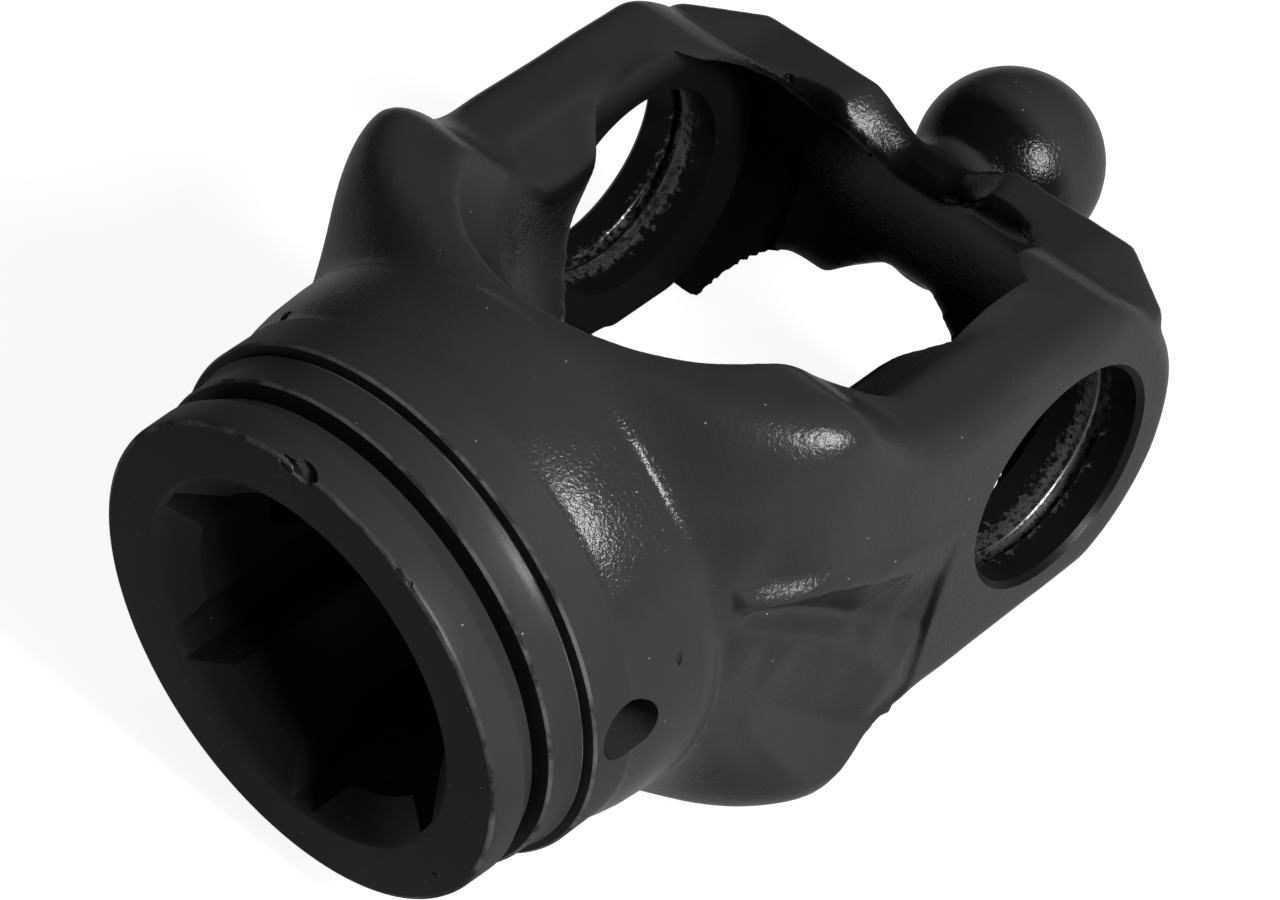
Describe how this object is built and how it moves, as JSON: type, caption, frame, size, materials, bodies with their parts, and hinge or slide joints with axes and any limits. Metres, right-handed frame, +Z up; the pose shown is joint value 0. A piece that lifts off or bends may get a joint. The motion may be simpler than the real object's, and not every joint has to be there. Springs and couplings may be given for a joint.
{
  "type": "forged yoke",
  "caption": "Forged wide-angle driveline yoke with a grooved round hub, a toothed socket, bored ears joined by a bridge, and a ball stud.",
  "frame": {"origin": "centre of the hub's front face, on the hub axis", "axes": "+Y along the hub axis from the front face to the ball, +X along the cross bores, +Z up, at right angles to both"},
  "size_m": [0.0886, 0.1485, 0.0758],
  "materials": {
    "black_paint": "semi-gloss black paint on a shot-blasted forging"
  },
  "bodies": {
    "root": {"yoke_forging": "black_paint"}
  },
  "joints": []
}
